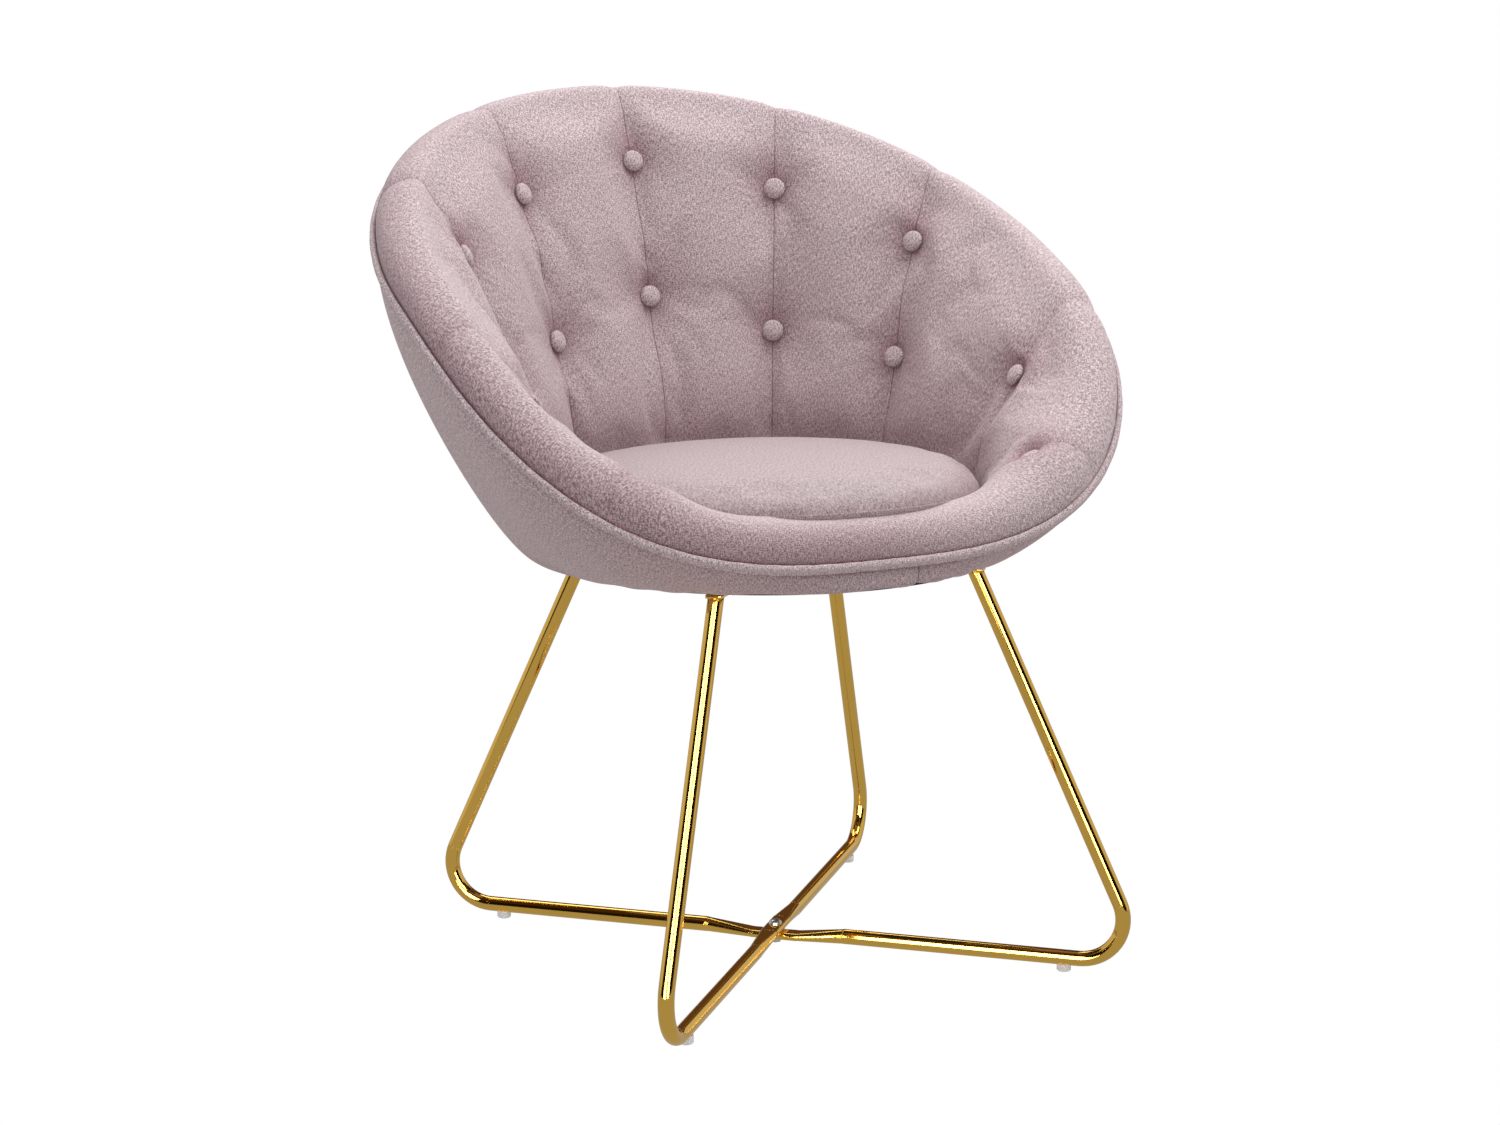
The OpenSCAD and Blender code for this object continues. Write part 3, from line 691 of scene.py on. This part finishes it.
# Painted shade: darker under the piping, in a band low on the wall where it turns under, and on the front
# half, which turns away from the lights
painted_shade = 0.5 * np.exp(-((end - along_out) / 0.006) ** 2) + 0.25 * np.exp(-((share - 0.18) / 0.05) ** 2)
painted_shade += 0.20 * smooth(-0.2, -0.8, np.sin(turned))
outer = grid_object("outer_shell_cover", shell, weave, seam_map, painted_shade, flip=True)
subdivided(outer)
piece(outer, "tub_fabric", shell_fabric, "outer_cover")

# ---------------------------------------------------------------- piping along the rim seam
RIM_STEPS, WELT_SIDES = 480, 16
HALF_WIDTH, HALF_HEIGHT = 0.0030, 0.0044
b = np.arange(RIM_STEPS) * 360 / RIM_STEPS
r, z, h = rim(b)
turn = np.arange(WELT_SIDES) * 2 * math.pi / WELT_SIDES
wobble = 1 + 0.03 * np.sin(np.radians(b) * 61) + 0.02 * np.sin(np.radians(b) * 151)
half_w, half_h = HALF_WIDTH * wobble[:, None], HALF_HEIGHT * wobble[:, None]
middle_r, middle_z = r[:, None] + HALF_WIDTH, z[:, None] - 0.0022
ring = np.stack([middle_r + half_w * np.cos(turn), middle_z + half_h * np.sin(turn)], -1)
points = spun(b, ring)
weave = np.zeros((RIM_STEPS + 1, WELT_SIDES, 2))
weave[..., 0] = (np.arange(RIM_STEPS + 1) * 2 * math.pi * 0.33 / RIM_STEPS)[:, None]
weave[..., 1] = np.arange(WELT_SIDES)[None, :] * 0.0015
# Painted shade on the welt's inner half, which turns towards the roll
painted_shade = np.zeros((RIM_STEPS, WELT_SIDES)) + 0.7 * np.clip(-np.cos(turn), 0, 1)[None, :]
welt = grid_object("rim_welt", points, weave, None, painted_shade, closed_rows=True, flip=True)
piece(welt, "piping_fabric", piping_fabric, "rim_piping")

# ---------------------------------------------------------------- seat cushion
EDGE_R, EDGE_ROUND, EDGE_TOP, CROWN = 0.190, 0.034, 0.424, 0.011
SPOKES = 160
outline = [(0, CUSHION_Z), (EDGE_R - 0.012, CUSHION_Z), (EDGE_R - 0.003, CUSHION_Z + 0.004),
           (EDGE_R, CUSHION_Z + 0.014), (EDGE_R, EDGE_TOP)]
outline += [(EDGE_R - EDGE_ROUND + EDGE_ROUND * math.cos(a), lerp(EDGE_TOP, CUSHION_TOP - CROWN, math.sin(a)))
            for a in np.radians(range(10, 91, 8))]
outline += [((EDGE_R - EDGE_ROUND) * x, CUSHION_TOP - CROWN * x ** 2.2) for x in np.linspace(0.94, 0, 16)]
outline = resample(np.array([outline]), 76)[0][0]
vertices, faces = [], []
for radius, height in outline[1:-1]:
    for i in range(SPOKES):
        a = 2 * math.pi * i / SPOKES
        vertices.append((radius * math.cos(a), SEAT_Y + radius * math.sin(a), height))
rows = len(outline) - 2
for k in range(rows - 1):
    for i in range(SPOKES):
        j = (i + 1) % SPOKES
        faces.append((k * SPOKES + i, k * SPOKES + j, (k + 1) * SPOKES + j, (k + 1) * SPOKES + i))
vertices += [(0, SEAT_Y, outline[0, 1]), (0, SEAT_Y, outline[-1, 1])]
bottom, top = rows * SPOKES, rows * SPOKES + 1
for i in range(SPOKES):
    j = (i + 1) % SPOKES
    faces += [(bottom, j, i), (top, (rows - 1) * SPOKES + i, (rows - 1) * SPOKES + j)]
cushion = plain_object("seat_cushion", vertices, faces)
remesh = cushion.modifiers.new("remesh", "REMESH")
remesh.mode, remesh.voxel_size, remesh.use_smooth_shade = "VOXEL", 0.005, True
solid = bpy.data.meshes.new_from_object(cushion.evaluated_get(bpy.context.evaluated_depsgraph_get()))
cushion.modifiers.clear()
cushion.data = solid
start = points_of(cushion)
held = np.nonzero(start[:, 2] < 0.410)[0]             # its flat underside and foot
moved = inflate(cushion, held, 4.0, slack=0.01) - start
size = np.linalg.norm(moved, axis=1, keepdims=True)
print("cushion: pressure moved it by", np.percentile(size, [5, 50, 95, 100]) * 1000)
cap = 0.005
final = start + moved / np.maximum(size, 1e-9) * cap * np.tanh(size / cap)
# Held in by the well
radius = np.hypot(final[:, 0], final[:, 1] - SEAT_Y)
squeeze = np.minimum(1, 0.1905 / np.maximum(radius, 1e-9))
final[:, 0] *= squeeze
final[:, 1] = SEAT_Y + (final[:, 1] - SEAT_Y) * squeeze
cushion.data.vertices.foreach_set("co", final.astype(np.float32).ravel())
# It lies a little lower at the back, where it is sat on, and presses the well out at the sides
points = points_of(cushion)
points[:, 2] -= 0.012 * (points[:, 1] - SEAT_Y) * smooth(0.410, 0.440, points[:, 2])
raised = smooth(0.400, 0.430, points[:, 2])
points[:, 0] += (0.055 * points[:, 0] + 0.010 * smooth(-0.19, 0.19, points[:, 0])) * raised
cushion.data.vertices.foreach_set("co", points.astype(np.float32).ravel())
add_uv(cushion.data, "weave", points[corner_points(cushion.data), :2])
add_uv(cushion.data, "seam", np.ones((len(cushion.data.loops), 2)))
# Painted shade: darker towards the rounded edge, where the cushion meets the well
add_painted_shade(cushion.data, 0.35 * smooth(0.172, 0.192, np.hypot(points[:, 0], points[:, 1] - SEAT_Y)))
smooth_shaded(cushion.data)
cushion.data.update()
subdivided(cushion)
piece(cushion, "cushion_fabric", cushion_fabric, "cushion_cover", "cushion_foam")

# ---------------------------------------------------------------- covered buttons
# A button's section, as radius and height
PROFILE = [(0.0, 0.0066), (0.0022, 0.00655), (0.0045, 0.0063), (0.0067, 0.0058), (0.0086, 0.0048),
           (0.0099, 0.0034), (0.0106, 0.0017), (0.0104, 0.0), (0.0088, -0.0014), (0.0055, -0.0022)]
TURNS, GATHERS = 64, 13


def covered_button(name):
    """A domed button whose cloth is gathered in at the edge."""
    vertices, faces, weave, painted_shades = [(0, 0, PROFILE[0][1])], [], [(0, 0)], [0]
    for radius, height in PROFILE[1:]:
        for i in range(TURNS):
            a = 2 * math.pi * i / TURNS
            gather = 1 + 0.018 * smooth(0.006, 0.0104, radius) * math.cos(a * GATHERS) * (height < 0.0045)
            vertices.append((radius * gather * math.cos(a), radius * gather * math.sin(a), height))
            weave.append((radius * math.cos(a), radius * math.sin(a)))
            # Painted shade on the button's side and underside, below the dome
            painted_shades.append(0.85 * float(smooth(0.003, 0.0, height)))
    for i in range(TURNS):
        j = (i + 1) % TURNS
        faces.append((0, 1 + i, 1 + j))
        for k in range(len(PROFILE) - 2):
            inner, outer_ring = 1 + k * TURNS, 1 + (k + 1) * TURNS
            faces.append((inner + i, outer_ring + i, outer_ring + j, inner + j))
    made = plain_object(name, vertices, faces, weave, painted_shades)
    subdivided(made)
    return made


for name, (place, facing) in BUTTONS.items():
    button = covered_button(name.replace("button", "covered_button"))
    sunk = 0.004 if name in ARM_ENDS else 0.0
    button.location = place - sunk * facing
    button.rotation_mode = "QUATERNION"
    button.rotation_quaternion = facing.to_track_quat("Z", "Y")
    piece(button, "button_fabric", button_fabric, name)

# ---------------------------------------------------------------- floor and light
def glowing(name, colour, strength):
    """An evenly lit surface of the studio."""
    material, tree, principled = shader(name)
    principled.inputs["Base Color"].default_value = (0, 0, 0, 1)
    principled.inputs["Specular IOR Level"].default_value = 0.0
    principled.inputs["Roughness"].default_value = 1.0
    principled.inputs["Emission Color"].default_value = colour
    principled.inputs["Emission Strength"].default_value = strength
    return material


def stage_mesh(name, vertices, faces, materials, seen_by, kinds=None):
    """A surface of the studio that only some kinds of ray meet. kinds is each face's material number."""
    mesh = bpy.data.meshes.new(name)
    mesh.from_pydata(vertices, [], faces)
    for material in materials:
        mesh.materials.append(material)
    if kinds is not None:
        mesh.polygons.foreach_set("material_index", np.array(kinds, np.int32))
    made = new_object(name, mesh)
    for kind in ("camera", "diffuse", "glossy", "transmission", "shadow"):
        setattr(made, "visible_" + kind, kind in seen_by)
    made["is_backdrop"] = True
    return made


def disc(radius, z, steps=96):
    turns = [2 * math.pi * i / steps for i in range(steps)]
    return [(radius * math.cos(a), radius * math.sin(a), z) for a in turns], [tuple(range(steps))]


WHITE = (1, 1, 1, 1)
stage_mesh("floor", *disc(30, 0), [glowing("pale_floor", WHITE, 1.0)], ("camera", "transmission"))
stage_mesh("floor_mirrored", *disc(6, -0.005), [glowing("floor_mirrored", WHITE, 0.44)], ("glossy",))
bounce = glowing("floor_bounce", (1, 0.93, 0.93, 1), 0.60)
stage_mesh("floor_bounce", *disc(6, -0.01), [bounce], ("diffuse",))
ceiling = glowing("ceiling_brown", (0.06, 0.028, 0.012, 1), 1.0)
stage_mesh("dark_ceiling", *disc(3.3, 2.6), [ceiling], ("glossy",))

# A plain round wall lights the cloth. The tubes mirror another, of panels, as streaks.
WALL_R, WALL_STEPS, STEP = 3.2, 120, 3
SEEN_FROM = math.degrees(math.atan2(camera.location.y, camera.location.x))
BLACK, BROWN, GREY, BRIGHT = range(4)
# Where each panel starts, in degrees from behind the camera
PANELS = [(-180, BROWN), (-150, GREY), (-72, BLACK), (-30, BRIGHT), (-9, BLACK), (9, BRIGHT), (27, BLACK),
          (72, GREY), (150, BROWN)]


def round_wall(top):
    out = []
    for i in range(WALL_STEPS):
        a = math.radians(SEEN_FROM - 180 + STEP * i)
        out += [(WALL_R * math.cos(a), WALL_R * math.sin(a), z) for z in (-0.02, top)]
    return out


kinds = [[kind for start, kind in PANELS if start <= -180 + STEP * i][-1] for i in range(WALL_STEPS)]
quads = []
for i in range(WALL_STEPS):
    j = (i + 1) % WALL_STEPS
    quads.append((2 * i, 2 * j, 2 * j + 1, 2 * i + 1))
stage_mesh("plain_wall", round_wall(2.2), quads, [glowing("wall_grey", WHITE, 0.44)], ("diffuse",))
panels = [glowing("panel_black", (0.010, 0.007, 0.005, 1), 1.0),
          glowing("panel_brown", (0.11, 0.06, 0.03, 1), 1.0),
          glowing("panel_grey", WHITE, 0.62), glowing("panel_white", WHITE, 10.0)]
stage_mesh("panel_wall", round_wall(2.62), quads, panels, ("glossy",), kinds)

world = bpy.data.worlds.new("studio")
scene.world = world
world.use_nodes = True
background = next(n for n in world.node_tree.nodes if n.type == "BACKGROUND")
background.inputs[0].default_value = WHITE
background.inputs[1].default_value = 1.0


def area_light(name, place, target, size, power):
    lamp = bpy.data.lights.new(name, "AREA")
    lamp.shape, lamp.size, lamp.size_y = "RECTANGLE", size[0], size[1]
    lamp.energy = power
    made = new_object(name, lamp)
    made.location = place
    made.rotation_euler = (Vector(target) - Vector(place)).to_track_quat("-Z", "Y").to_euler()


area_light("key", (0.9, -0.3, 2.6), (0, 0, 0.5), (1.4, 1.4), 30)
area_light("rear", (0.2, 1.6, 2.4), (0, 0, 0.5), (1.6, 1.0), 14)
scene.view_settings.view_transform = "Standard"

low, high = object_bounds()
